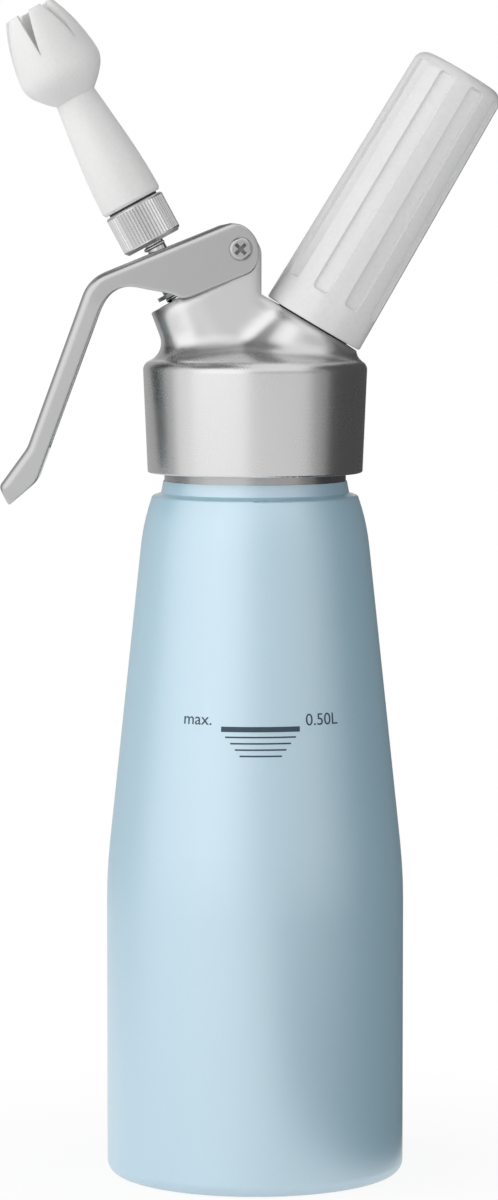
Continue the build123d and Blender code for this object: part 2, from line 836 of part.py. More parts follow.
valve_stem_placed = on(stem_frame, valve_stem.part)
save(valve_stem_placed, "valve_stem")

spring_collar = on(
    stem_frame,
    turned(
        (stem_neck_radius, -collar_foot_drop),
        (collar_flange_radius, -collar_foot_drop),
        (collar_flange_radius, -collar_flange_drop),
        (collar_radius, -collar_flange_drop),
        (collar_radius, -collar_top_drop - collar_edge),
        (collar_flat_radius, -collar_top_drop),
        (stem_neck_radius, -collar_top_drop),
    ),
)
save(spring_collar, "spring_collar")

with BuildPart() as retaining_clip:
    with BuildSketch(Plane.XZ):
        with Locations((stem_neck_radius - clip_groove_depth + clip_wire_radius, -clip_drop)):
            Circle(clip_wire_radius)
    revolve(axis=Axis.Z, revolution_arc=360 - clip_opening)
clip_turned = retaining_clip.part.rotate(Axis.Z, clip_opening / 2)
retaining_clip_placed = on(stem_frame, clip_turned)
save(retaining_clip_placed, "retaining_clip")

with BuildPart() as valve_spring:
    spring_foot = -guide_drop + spring_wire_radius
    spring_top = -collar_foot_drop - spring_wire_radius
    spring_pitch = (spring_top - spring_foot) / spring_turns
    with BuildLine() as spring_path:
        Helix(
            spring_pitch,
            spring_top - spring_foot,
            spring_mean_radius,
            center=(0, 0, spring_foot),
        )
    with BuildSketch(Plane(spring_path.line @ 0, z_dir=spring_path.line % 0)):
        Circle(spring_wire_radius)
    sweep(path=spring_path.line, is_frenet=True)
valve_spring_placed = on(stem_frame, valve_spring.part)
save(valve_spring_placed, "valve_spring")

stem_guide = on(
    stem_frame,
    turned(
        (stem_radius + running_clearance, -guide_foot_drop),
        (guide_sleeve_radius, -guide_foot_drop),
        (guide_sleeve_radius, -guide_drop - guide_flange_height),
        (guide_flange_radius, -guide_drop - guide_flange_height),
        (guide_flange_radius, -guide_drop),
        (stem_radius + running_clearance, -guide_drop),
    ),
)
save(stem_guide, "stem_guide")

with BuildPart() as stem_o_ring:
    ring_wire = (guide_sleeve_radius - stem_radius - running_clearance) / 2
    with BuildSketch(Plane.XZ):
        with Locations((guide_sleeve_radius - ring_wire, -gland_foot_drop + ring_wire)):
            Circle(ring_wire)
    revolve(axis=Axis.Z)
stem_o_ring_placed = on(stem_frame, stem_o_ring.part)
save(stem_o_ring_placed, "stem_o_ring")

valve_seal = on(
    stem_frame,
    tube(stem_waist_radius, seal_outer_radius, -seal_drop - seal_thickness, -seal_drop),
)
save(valve_seal, "valve_seal")


# ---------------------------------------------------------------- adapter and decorating tip

adapter_seal = on(
    stem_frame,
    tube(
        adapter_seal_bore,
        adapter_bore_radius - seat_gap,
        adapter_seal_foot,
        adapter_shoulder_rise - seat_gap,
    ),
)
save(adapter_seal, "adapter_seal")

with BuildPart() as nozzle_adapter:
    add(
        turned(
            (adapter_bore_radius, -adapter_foot_drop),
            (adapter_radius - adapter_foot_chamfer, -adapter_foot_drop),
            (adapter_radius, adapter_foot_chamfer - adapter_foot_drop),
            (adapter_radius, adapter_height - adapter_top_chamfer),
            (adapter_radius - adapter_top_chamfer, adapter_height),
            (stub_radius, adapter_height),
            (stub_radius, stub_rise),
            (stub_channel_radius, stub_rise),
            (stub_channel_radius, adapter_shoulder_rise),
            (adapter_bore_radius, adapter_shoulder_rise),
        )
    )
    knurl_outside = adapter_radius + knurl_depth
    with BuildSketch(Plane.XY.offset(knurl_foot)):
        with PolarLocations(0, knurl_count):
            Polygon(
                (adapter_radius - knurl_depth, 0),
                (knurl_outside, -knurl_width),
                (knurl_outside, knurl_width),
                align=None,
            )
    extrude(amount=adapter_height - knurl_foot - knurl_margin, mode=Mode.SUBTRACT)
    add(
        thread_ridge(
            adapter_bore_radius,
            stem_thread,
            stem_thread_start + stem_thread.pitch / 2,
            adapter_thread_turns,
            inward=True,
        )
    )
nozzle_adapter_placed = on(stem_frame, nozzle_adapter.part)
save(nozzle_adapter_placed, "nozzle_adapter")

tip_ring = on(stem_frame, tube(stub_radius, ring_radius, adapter_height, ring_top_rise))
save(tip_ring, "tip_ring")

# V-shaped slot cutter on the +X side of the tip, drawn a little past the crown
with BuildPart() as tip_slot:
    crown_rise = tip_tulip[-1][1]
    slot_past = tip_slot_length / 4
    slot_half = tip_slot_width / 2 * (1 + slot_past / tip_slot_length)
    with BuildSketch(Plane.YZ):
        Polygon(
            (0, crown_rise - tip_slot_length),
            (slot_half, crown_rise + slot_past),
            (-slot_half, crown_rise + slot_past),
            align=None,
        )
    extrude(amount=2 * tip_foot_radius)

with BuildPart() as decorator_tip:
    socket_top = stub_rise + tip_socket_gap
    with BuildSketch(Plane.XZ):
        with BuildLine():
            barrel = Spline(*tip_barrel)
            tulip = Spline(tip_barrel[-1], *tip_tulip)
            hollow = Spline(*tip_hollow)
            Line(tulip @ 1, hollow @ 1)
            Polyline(
                hollow @ 0,
                (tip_channel_radius, socket_top),
                (stub_radius, socket_top),
                (stub_radius, ring_top_rise),
                (tip_foot_radius - tip_foot_edge, ring_top_rise),
                barrel @ 0,
            )
        make_face()
    revolve(axis=Axis.Z)
    for number in range(tip_slot_count):
        turn = 270 + tip_slot_turn + 360 * number / tip_slot_count
        add(tip_slot.part.rotate(Axis.Z, turn), mode=Mode.SUBTRACT)
decorator_tip_placed = on(stem_frame, decorator_tip.part)
save(decorator_tip_placed, "decorator_tip")


# ---------------------------------------------------------------- charger side

with BuildPart() as pin_housing:
    stub_foot = -housing_depth - housing_stub_length
    channel_end = -gas_hole_depth - 2 * gas_hole_radius
    add(
        turned(
            (0, stub_foot),
            (housing_stub_radius, stub_foot),
            (housing_stub_radius, -housing_depth),
            (spigot_bore_radius, -housing_depth),
            (spigot_bore_radius, charger_gasket_rise),
            (pin_radius, charger_gasket_rise),
            (pin_radius, pin_foot_rise),
            (gas_channel_radius, pin_foot_rise),
            (gas_channel_radius, channel_end),
            (0, channel_end),
        )
    )
    with BuildSketch(Plane.XZ):
        with Locations((0, -gas_hole_depth)):
            Circle(gas_hole_radius)
    extrude(amount=2 * housing_stub_radius, both=True, mode=Mode.SUBTRACT)
pin_housing_placed = on(charger_frame, pin_housing.part)
save(pin_housing_placed, "pin_housing")

piercing_pin = on(
    charger_frame,
    turned(
        (pin_bore_radius, pin_foot_rise),
        (pin_radius, pin_foot_rise),
        (pin_radius, pin_tip_rise - pin_cone_length),
        (pin_bore_radius + pin_edge, pin_tip_rise),
        (pin_bore_radius, pin_tip_rise),
    ),
)
save(piercing_pin, "piercing_pin")

check_sleeve = on(
    charger_frame,
    tube(
        housing_stub_radius,
        housing_stub_radius + check_sleeve_thickness,
        stub_foot + check_sleeve_margin,
        -housing_depth - check_sleeve_margin,
    ),
)
save(check_sleeve, "check_sleeve")

charger_gasket = on(
    charger_frame,
    tube(
        charger_gasket_bore,
        spigot_bore_radius - seat_gap,
        charger_gasket_rise,
        charger_gasket_rise + charger_gasket_thickness,
    ),
)
save(charger_gasket, "charger_gasket")


def charger_outline(inset):
    """Half outline of the charger from its neck's end to its round end, moved in by inset."""
    radius = charger_radius - inset
    neck = charger_neck_radius - inset
    neck_foot = charger_rise + charger_neck_length
    side_start = (radius, neck_foot + charger_shoulder)
    side_end = (radius, charger_end_rise - charger_radius)
    Line((neck, charger_rise), (neck, neck_foot))
    Spline((neck, neck_foot), side_start, tangents=[(0, 1), (0, 1)])
    Line(side_start, side_end)
    return JernArc(side_end, (0, 1), radius, 90)


with BuildPart() as gas_charger:
    for inset, mode in ((0, Mode.ADD), (charger_wall, Mode.SUBTRACT)):
        with BuildSketch(Plane.XZ):
            with BuildLine():
                end_arc = charger_outline(inset)
                Polyline(
                    end_arc @ 1,
                    (0, charger_rise),
                    (charger_neck_radius - inset, charger_rise),
                )
            make_face()
        revolve(axis=Axis.Z, mode=mode)
gas_charger_placed = on(charger_frame, gas_charger.part)
save(gas_charger_placed, "gas_charger")

charger_cap = on(
    charger_frame,
    tube(
        pin_radius + seat_gap,
        charger_neck_radius - charger_wall,
        charger_rise,
        charger_rise + charger_cap_thickness,
    ),
)
save(charger_cap, "charger_cap")

# cutter for one flute, a shallow flat-bottomed groove along the holder's tapered +X side
with BuildPart() as flute:
    flute_middle = (flute_start + holder_length - flute_end_margin) / 2
    flute_length = holder_length - flute_end_margin - flute_start
    middle_radius = holder_base_radius - flute_middle * tan(radians(holder_taper))
    flute_out = (cos(radians(holder_taper)), 0, sin(radians(holder_taper)))
    flute_side = Plane((middle_radius, 0, flute_middle), x_dir=(0, 1, 0), z_dir=flute_out)
    wall_run = 2 * flute_depth * tan(radians(flute_wall_lean))
    with BuildSketch(flute_side.offset(-flute_depth)):
        RectangleRounded(flute_width - wall_run, flute_length - wall_run, flute_corner)
    extrude(amount=2 * flute_depth, taper=-flute_wall_lean)

with BuildPart() as charger_holder:
    cavity_centre = charger_end_rise - charger_radius
    with BuildSketch(Plane.XZ):
        with BuildLine():
            Polyline(
                (0, holder_length),
                (0, 0),
                (holder_base_radius, 0),
                (holder_end_radius, holder_length),
                (0, holder_length),
            )
        make_face()
    revolve(axis=Axis.Z)
    end_edge = charger_holder.edges().filter_by(GeomType.CIRCLE).sort_by(Axis.Z)[-1]
    fillet(end_edge, holder_end_fillet)
    base_edge = charger_holder.edges().filter_by(GeomType.CIRCLE).sort_by(Axis.Z)[0]
    fillet(base_edge, holder_base_edge)
    with BuildSketch(Plane.XZ):
        with BuildLine():
            cavity_end = JernArc(
                (charger_cavity_radius, cavity_centre), (0, 1), charger_cavity_radius, 90
            )
            Polyline(
                cavity_end @ 1,
                (0, 0),
                (holder_bore_radius, 0),
                (holder_bore_radius, holder_thread_depth),
                (charger_cavity_radius, holder_thread_depth),
                cavity_end @ 0,
            )
        make_face()
    revolve(axis=Axis.Z, mode=Mode.SUBTRACT)
    # flutes
    for number in range(flute_count):
        turn = 270 + flute_turn + 360 * number / flute_count
        add(flute.part.rotate(Axis.Z, turn), mode=Mode.SUBTRACT)
    holder_ridge = thread_ridge(
        holder_bore_radius,
        charger_thread,
        boss_thread_start + charger_thread.pitch / 2,
        holder_thread_turns,
        inward=True,
    )
    add(holder_ridge)
charger_holder_placed = on(charger_frame, charger_holder.part)
save(charger_holder_placed, "charger_holder")
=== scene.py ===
import json
from math import asin, cos, pi, radians, sin

import bmesh
import bpy
from bpy.props import FloatProperty, FloatVectorProperty, PointerProperty, StringProperty
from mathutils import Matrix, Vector


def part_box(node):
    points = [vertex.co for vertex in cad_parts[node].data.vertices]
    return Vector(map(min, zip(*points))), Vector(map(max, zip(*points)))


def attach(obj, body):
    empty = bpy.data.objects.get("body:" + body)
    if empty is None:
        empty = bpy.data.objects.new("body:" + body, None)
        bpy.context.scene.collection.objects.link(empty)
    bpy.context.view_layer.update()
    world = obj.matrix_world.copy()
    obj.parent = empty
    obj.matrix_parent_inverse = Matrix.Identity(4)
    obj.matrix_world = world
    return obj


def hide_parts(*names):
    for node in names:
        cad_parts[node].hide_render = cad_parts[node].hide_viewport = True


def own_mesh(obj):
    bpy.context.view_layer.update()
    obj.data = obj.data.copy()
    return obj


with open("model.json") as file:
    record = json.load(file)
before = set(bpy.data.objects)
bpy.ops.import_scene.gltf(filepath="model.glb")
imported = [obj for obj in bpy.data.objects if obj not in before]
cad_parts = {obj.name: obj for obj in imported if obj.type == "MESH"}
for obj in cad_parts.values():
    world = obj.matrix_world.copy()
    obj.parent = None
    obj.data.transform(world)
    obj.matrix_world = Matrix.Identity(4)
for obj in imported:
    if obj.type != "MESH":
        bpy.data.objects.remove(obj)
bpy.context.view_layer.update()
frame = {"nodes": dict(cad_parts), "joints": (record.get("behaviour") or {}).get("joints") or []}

bl_info = {
    "name": "Whipped Cream Dispenser Finish",
    "version": (1, 0, 0),
    "blender": (4, 5, 0),
    "location": "View3D > Sidebar > Dispenser",
    "description": "Finishes and studio for a whipped cream dispenser",
    "category": "Object",
}

# the valve stem's axis and a point on it, and the charger's axis, from the joints there
JOINTS = {joint["name"]: joint for joint in frame["joints"]}
STEM_UP = Vector(JOINTS["tip_lift"]["axis"]).normalized()
STEM_FOOT = Vector(JOINTS["tip_turn"]["pos_m"])
CHARGER_UP = Vector(JOINTS["holder_lift"]["axis"]).normalized()


# ---------------------------------------------------------------- sizes and colours


def colour(name, description, default):
    return FloatVectorProperty(
        name=name, description=description, subtype="COLOR", size=3, min=0, max=1, default=default
    )


def length(name, description, default):
    return FloatProperty(
        name=name, description=description, default=default, unit="LENGTH", precision=5
    )


def share(name, description, default):
    return FloatProperty(
        name=name, description=description, subtype="FACTOR", min=0, max=1, default=default
    )


def bearing(name, description, degrees):
    return FloatProperty(
        name=name, description=description, subtype="ANGLE", default=radians(degrees)
    )


def power(name, description, default):
    return FloatProperty(name=name, description=description, unit="POWER", default=default)


def number(name, description, default):
    return FloatProperty(name=name, description=description, default=default)


class DispenserBottle(bpy.types.PropertyGroup):
    lacquer: colour("Lacquer", "Colour of the bottle's lacquer", (0.30, 0.525, 0.655))
    pits: colour("Lacquer pits", "Colour in the lacquer's fine pits", (0.28, 0.50, 0.627))
    roughness: share("Lacquer roughness", "Roughness of the matt lacquer", 0.42)
    index: number("Lacquer index", "Refractive index of the lacquer", 2.2)
    coat_roughness: share("Coat roughness", "Roughness of the lacquer's silky top coat", 0.42)
    coat_index: number("Coat index", "Refractive index of the top coat", 3.0)
    bare_from: length("Bare neck from", "Height where the lacquer ends", 0.1825)


class DispenserMark(bpy.types.PropertyGroup):
    ink: colour("Ink", "Colour of the printed fill mark", (0.028, 0.055, 0.085))
    turn: bearing("Turn", "Turn of the bar and lines from the front", 2.3)
    bar_height: length("Bar height", "Height of the thick bar above the base", 0.1207)
    bar_width: length("Bar width", "Width of the thick bar", 0.0205)
    bar_thickness: length("Bar thickness", "Thickness of the thick bar", 0.00135)
    line_widths: FloatVectorProperty(
        name="Line widths",
        description="Widths of the thin lines, from the top down",
        unit="LENGTH",
        precision=5,
        size=4,
        default=(0.01835, 0.0157, 0.0133, 0.0109),
    )
    line_thickness: length("Line thickness", "Thickness of each thin line", 0.0004)
    line_drop: length("Line drop", "Drop from the bar to the first thin line", 0.0020)
    line_pitch: length("Line pitch", "Drop from each thin line to the next", 0.0016)
    letter_size: length("Letter size", "Size of the lettering", 0.0043)
    word: StringProperty(name="Word", description="Word left of the bar", default="max.")
    word_turn: bearing("Word turn", "Turn of the word's left end from the front", -32.3)
    word_rise: length("Word rise", "Rise of the word above the bar's middle", 0.0010)
    volume: StringProperty(name="Volume", description="Volume right of the bar", default="0.50L")
    volume_turn: bearing("Volume turn", "Turn of the volume's left end from the front", 21.9)
    volume_rise: length("Volume rise", "Rise of the volume above the bar's middle", 0.0008)


class DispenserMetal(bpy.types.PropertyGroup):
    casting: colour("Casting", "Colour of the satin aluminium casting", (0.68, 0.68, 0.68))
    casting_edge: length("Casting edge", "Radius that rounds the casting's edges to the eye", 0.005)
    casting_edge_from: length("Casting edge from", "Height above which it does so", 0.2145)
    lever: colour("Lever", "Colour of the lever", (0.52, 0.52, 0.52))
    lever_edge: length("Lever edge", "Radius that rounds the lever's edges to the eye", 0.0012)
    steel: colour("Steel", "Colour of the stainless steel", (0.76, 0.76, 0.76))
    collar: colour("Collar", "Colour of the spring's dark steel collar", (0.27, 0.27, 0.27))
    brass: colour("Brass", "Colour of the brass insert", (0.70, 0.52, 0.24))
    bare: colour("Bare aluminium", "Colour of the bare neck", (0.42, 0.42, 0.425))


class DispenserPlastic(bpy.types.PropertyGroup):
    tip: colour("Tip", "Colour of the decorating tip", (0.77, 0.77, 0.765))
    milky: share("Milky tip", "How much light spreads in the tip's plastic", 0.6)
    holder: colour("Charger holder", "Colour of the charger holder", (0.76, 0.76, 0.76))
    dark: colour("Dark parts", "Colour of the tip's ring and the stem's guide", (0.035, 0.036, 0.04))
    rubber: colour("Rubber", "Colour of the black seals", (0.02, 0.02, 0.021))
    silicone: colour("Silicone", "Colour of the head gasket", (0.45, 0.47, 0.49))


class DispenserScrew(bpy.types.PropertyGroup):
    # painted shade: this grey darkens the screw's metal down in its cross recess, standing in for
    # the shade that falls there
    recess: colour("Recess", "Colour down in the cross recess", (0.42, 0.42, 0.42))
    recess_width: length("Recess width", "Width of the cross recess", 0.0009)
    recess_span: length("Recess span", "Span of the cross recess", 0.0036)
    recess_depth: length("Recess depth", "Depth of the cross recess", 0.0010)
    recess_turn: bearing("Recess turn", "Turn of the cross recess on the screw", 45)


class DispenserSpring(bpy.types.PropertyGroup):
    wire: length("Wire", "Radius of the return spring's wire", 0.00045)
    turns: number("Turns", "Turns of the return spring, flat ones included", 6.5)
    flat_turns: number("Flat turns", "Turns that lie flat at each end", 0.9)


class DispenserStage(bpy.types.PropertyGroup):
    floor: colour("Floor", "Colour of the floor", (0.88, 0.88, 0.88))
    floor_white: share("Floor white", "How white the floor looks beside the object", 0.90)
    floor_near: length("Floor near", "Distance from the axis where it starts to whiten", 0.05)
    floor_far: length("Floor far", "Distance from the axis from which it is white", 0.16)
    key_power: power("Key light", "Power of the large left light", 5.2)
    fill_power: power("Fill light", "Power of the light at the right", 2.0)
    side_power: power("Side light", "Power of the lamp at the left", 3.4)
    world_light: share("World light", "Light from all round", 0.50)
    key_shine: number("Key shine", "Brightness of the key in reflections", 1.38)
    card_right: share("Right card", "Brightness of the dark cards on the right", 0.085)
    card_left: share("Left card", "Brightness of the grey cards on the left", 0.50)
    card_back: share("Back card", "Brightness of the grey card above the back", 0.45)
    card_front: share("Front card", "Brightness of the wide grey card in front", 0.70)
    card_side: share("Side card", "Brightness of the card between front and right", 0.38)
    card_top: share("Top card", "Brightness of the dark card overhead", 0.20)
    eye_height: length("Eye height", "Height of the camera", 0.2544)
    eye_distance: length("Eye distance", "Distance of the camera", 1.258)
    aim_height: length("Aim height", "Height that the camera looks at", 0.1511)
    aim_side: length("Aim side", "Sideways place that the camera looks at", -0.0016)
    frame_height: length("Frame height", "Height that the frame spans at the axis", 0.3145)


SETTINGS = {
    "dispenser_bottle": DispenserBottle,
    "dispenser_mark": DispenserMark,
    "dispenser_metal": DispenserMetal,
    "dispenser_plastic": DispenserPlastic,
    "dispenser_screw": DispenserScrew,
    "dispenser_spring": DispenserSpring,
    "dispenser_stage": DispenserStage,
}


# ---------------------------------------------------------------- shader helpers


# sockets of a Mix node by kind: first value, second value and result
MIX_SOCKETS = {"FLOAT": (2, 3, 0), "VECTOR": (4, 5, 1), "RGBA": (6, 7, 2)}
NODE_PITCH = 190  # distance between nodes in the editor

# range that the values of the drawn lines mostly lie in
LINES_RANGE = (0.3, 0.7)

# how coordinates are stretched for the drawn lines, so that these run one way
TURNED = (0.02, 0.02, 1)  # round an axis
RINGED = (0.01, 0.01, 1)  # round the bottle's axis, in longer lines
ALONG_Y = (1, 0.05, 1)
EVEN = (1, 1, 1)  # no way more than another

EDGE_SAMPLES = 8  # rays that look for the edges to round
EDGE_FADE = 0.003  # height over which rounded edges fade in
SATIN_PATCH = 30.0  # scale of the slow patches
PLASTIC_PATCH = 70.0
PLASTIC_INDEX = 1.49
GLOSS_ROUGHNESS = 0.08  # of the skin on glossy plastic
MILKY_REACH = 0.004  # distance that light spreads in milky plastic


class Tree:
    """A node tree with short calls for adding and joining nodes."""

    def __init__(self, tree):
        self.tree = tree
        self.column = 0

    def add(self, kind, **values):
        node = self.tree.nodes.new(kind)
        self.column += 1
        node.location = (self.column * NODE_PITCH, 0)
        for key, value in values.items():
            setattr(node, key, value)
        return node

    def join(self, source, target):
        self.tree.links.new(source, target)

    def end(self, kind, shader):
        """Add an output node that shows a shader."""
        output = self.add(kind)
        self.join(shader.outputs[0], output.inputs["Surface"])

    def feed(self, socket, value):
        """Set a socket to a number, vector or colour, or join an output to it."""
        if isinstance(value, bpy.types.NodeSocket):
            self.join(value, socket)
        elif socket.type == "RGBA" and len(value) == 3:
            socket.default_value = (*value, 1)
        else:
            socket.default_value = value

    def place(self):
        """Object coordinates, in metres."""
        return self.add("ShaderNodeTexCoord").outputs["Object"]

    def math(self, operation, first, second=0.0):
        node = self.add("ShaderNodeMath", operation=operation)
        for socket, value in zip(node.inputs, (first, second)):
            self.feed(socket, value)
        return node.outputs[0]

    def vector(self, operation, first, second=None):
        """Vector math: a length or a dot product is a number, and the rest are vectors."""
        node = self.add("ShaderNodeVectorMath", operation=operation)
        self.feed(node.inputs[0], first)
        if second is not None:
            self.feed(node.inputs[1], second)
        return node.outputs["Value" if operation in ("LENGTH", "DOT_PRODUCT") else "Vector"]

    def split(self, vector):
        """The X, Y and Z of a vector."""
        node = self.add("ShaderNodeSeparateXYZ")
        self.join(vector, node.inputs[0])
        return node.outputs

    def turn_about_y(self, vector, angle):
        node = self.add("ShaderNodeVectorRotate", rotation_type="Y_AXIS")
        self.join(vector, node.inputs["Vector"])
        self.feed(node.inputs["Angle"], angle)
        return node.outputs[0]

    def stretch(self, vector, scale, up=None):
        """Coordinates stretched by three factors, the third along an axis if one is given."""
        if up is not None:
            vector = self.turn_about_y(vector, -asin(up.x))
        return self.vector("MULTIPLY", vector, scale)

    def mix(self, factor, first, second, kind="RGBA"):
        """Mix two colours, or two vectors or numbers where kind says so."""
        node = self.add("ShaderNodeMix", data_type=kind)
        first_socket, second_socket, result = MIX_SOCKETS[kind]
        self.feed(node.inputs["Factor"], factor)
        self.feed(node.inputs[first_socket], first)
        self.feed(node.inputs[second_socket], second)
        return node.outputs[result]

    def span(self, value, low, high, to_low=0.0, to_high=1.0):
        """Map a value from one range to another, clamped."""
        node = self.add("ShaderNodeMapRange")
        for socket, amount in zip(node.inputs, (value, low, high, to_low, to_high)):
            self.feed(socket, amount)
        return node.outputs[0]

    def noise(self, vector, scale, detail, roughness):
        node = self.add("ShaderNodeTexNoise")
        self.join(vector, node.inputs["Vector"])
        self.feed(node.inputs["Scale"], scale)
        self.feed(node.inputs["Detail"], detail)
        self.feed(node.inputs["Roughness"], roughness)
        return node.outputs["Fac"]


def cleared_tree(owner):
    """The node tree of a new material or world, with no nodes in it."""
    owner.use_nodes = True
    owner.node_tree.nodes.clear()
    return Tree(owner.node_tree)


def new_group(name, inputs, outputs):
    """A shader node group with named sockets: (group, Tree, what it is given, what it puts out)."""
    group = bpy.data.node_groups.new(name, "ShaderNodeTree")
    for label, kind, default in inputs:
        socket = group.interface.new_socket(name=label, in_out="INPUT", socket_type=kind)
        if default is not None:
            socket.default_value = default
    for label, kind in outputs:
        group.interface.new_socket(name=label, in_out="OUTPUT", socket_type=kind)
    tree = Tree(group)
    start = tree.add("NodeGroupInput")
    end = tree.add("NodeGroupOutput")
    return group, tree, start.outputs, end.inputs


def grained_surface():
    """Fine grain with slow patches: cast, blasted, moulded and lacquered skins all have it."""
    name = "Grained Surface"
    if name in bpy.data.node_groups:
        return bpy.data.node_groups[name]
    group, tree, given, out = new_group(
        name,
        inputs=[
            ("Coordinates", "NodeSocketVector", None),
            ("Color", "NodeSocketColor", (0.8, 0.8, 0.8, 1)),
            ("Pit Color", "NodeSocketColor", (0.7, 0.7, 0.7, 1)),
            ("Grain Scale", "NodeSocketFloat", 2500.0),
            ("Patch Scale", "NodeSocketFloat", 60.0),
            ("Roughness", "NodeSocketFloat", 0.4),
            ("Roughness Spread", "NodeSocketFloat", 0.1),
        ],
        outputs=[
            ("Color", "NodeSocketColor"),
            ("Roughness", "NodeSocketFloat"),
            ("Height", "NodeSocketFloat"),
        ],
    )
    grain = tree.noise(given["Coordinates"], given["Grain Scale"], detail=3.0, roughness=0.6)
    patch = tree.noise(given["Coordinates"], given["Patch Scale"], detail=3.0, roughness=0.55)
    pits = tree.span(grain, low=0.35, high=0.6, to_low=1.0, to_high=0.0)
    slow = tree.span(patch, low=0.3, high=0.7)

    # pits and patches each take a share of the pit colour
    pit_share, patch_share = 0.6, 0.35
    pale = tree.mix(tree.math("MULTIPLY", pits, pit_share), given["Color"], given["Pit Color"])
    patchy = tree.mix(tree.math("MULTIPLY", slow, patch_share), pale, given["Pit Color"])
    tree.join(patchy, out["Color"])

    # as they swing about their middle, so does the roughness, but never below a least one
    middle, least = 0.5, 0.05
    swings = [
        tree.math("MULTIPLY", tree.math("SUBTRACT", value, middle), given["Roughness Spread"])
        for value in (slow, grain)
    ]
    rough = tree.math("ADD", given["Roughness"], tree.math("ADD", *swings))
    tree.join(tree.math("MAXIMUM", rough, least), out["Roughness"])
    tree.join(grain, out["Height"])
    return group


def drawn_lines():
    """Fine parallel lines left by brushing, turning or drawing, closely set along one axis."""
    name = "Drawn Lines"
    if name in bpy.data.node_groups:
        return bpy.data.node_groups[name]
    group, tree, given, out = new_group(
        name,
        inputs=[
            ("Coordinates", "NodeSocketVector", None),
            ("Fineness", "NodeSocketFloat", 3000.0),
        ],
        outputs=[("Lines", "NodeSocketFloat")],
    )
    coarser, fine_share = 0.23, 0.6
    coarseness = tree.math("MULTIPLY", given["Fineness"], coarser)
    fine = tree.noise(given["Coordinates"], given["Fineness"], detail=2.0, roughness=0.7)
    coarse = tree.noise(given["Coordinates"], coarseness, detail=2.0, roughness=0.6)
    both = tree.math(
        "ADD",
        tree.math("MULTIPLY", fine, fine_share),
        tree.math("MULTIPLY", coarse, 1 - fine_share),
    )
    tree.join(both, out["Lines"])
    return group


def new_material(name):
    """A material with a Principled shader: (material, Tree, shader inputs, object coordinates)."""
    material = bpy.data.materials.new(name)
    tree = cleared_tree(material)
    place = tree.place()
    shader = tree.add("ShaderNodeBsdfPrincipled")
    tree.end("ShaderNodeOutputMaterial", shader)
    return material, tree, shader.inputs, place


def place_group(tree, group, **values):
    """A group in a material, with its values, by socket names written with underscores."""
    node = tree.add("ShaderNodeGroup", node_tree=group)
    for key, value in values.items():
        tree.feed(node.inputs[key.replace("_", " ")], value)
    return node.outputs


def darker(base, kept):
    """A colour that keeps a share of its brightness."""
    return tuple(channel * kept for channel in base)


def rounded_normal(tree, radius, above=None):
    """A normal that rounds edges by a radius, all over or only above a height."""
    edge = tree.add("ShaderNodeBevel", samples=EDGE_SAMPLES)
    tree.feed(edge.inputs["Radius"], radius)
    if above is None:
        return edge.outputs[0]
    mask = tree.span(tree.split(tree.place())["Z"], above - EDGE_FADE, above)
    plain = tree.add("ShaderNodeNewGeometry").outputs["Normal"]
    return tree.vector("NORMALIZE", tree.mix(mask, plain, edge.outputs[0], "VECTOR"))


def bump(tree, height, distance, strength=0.5, normal=None):
    """Relief from a height, over the plain normal or over the one that is given."""
    node = tree.add("ShaderNodeBump")
    tree.feed(node.inputs["Strength"], strength)
    tree.feed(node.inputs["Distance"], distance)
    tree.join(height, node.inputs["Height"])
    if normal is not None:
        tree.join(normal, node.inputs["Normal"])
    return node.outputs[0]


def satin_metal(
    name, base, roughness, spread, grain=2600.0, depth=0.000004, edge=None, edge_from=None
):
    """Blasted or tumbled metal: a fine even grain under slow patches, and edges rounded if asked."""
    material, tree, shader, place = new_material(name)
    skin = place_group(
        tree,
        grained_surface(),
        Coordinates=place,
        Color=tuple(base),
        Pit_Color=darker(base, kept=0.95),
        Grain_Scale=grain,
        Patch_Scale=SATIN_PATCH,
        Roughness=roughness,
        Roughness_Spread=spread,
    )
    normal = None if edge is None else rounded_normal(tree, edge, edge_from)
    tree.join(skin["Color"], shader["Base Color"])
    tree.join(skin["Roughness"], shader["Roughness"])
    tree.join(bump(tree, skin["Height"], depth, normal=normal), shader["Normal"])
    shader["Metallic"].default_value = 1.0
    return material


def drawn_metal(name, base, roughness, lines_way, up=None, fineness=2400.0):
    """Metal with fine lines that run one way, which may be turned with an axis."""
    material, tree, shader, place = new_material(name)
    stretched = tree.stretch(place, lines_way, up)
    lines = place_group(tree, drawn_lines(), Coordinates=stretched, Fineness=fineness)["Lines"]
    tree.join(tree.mix(lines, tuple(base), darker(base, kept=0.8)), shader["Base Color"])
    smoothest, roughest = roughness * 0.8, roughness * 1.25
    rough = tree.span(lines, *LINES_RANGE, to_low=smoothest, to_high=roughest)
    tree.join(rough, shader["Roughness"])
    tree.join(bump(tree, lines, distance=0.00003), shader["Normal"])
    shader["Metallic"].default_value = 1.0
    return material


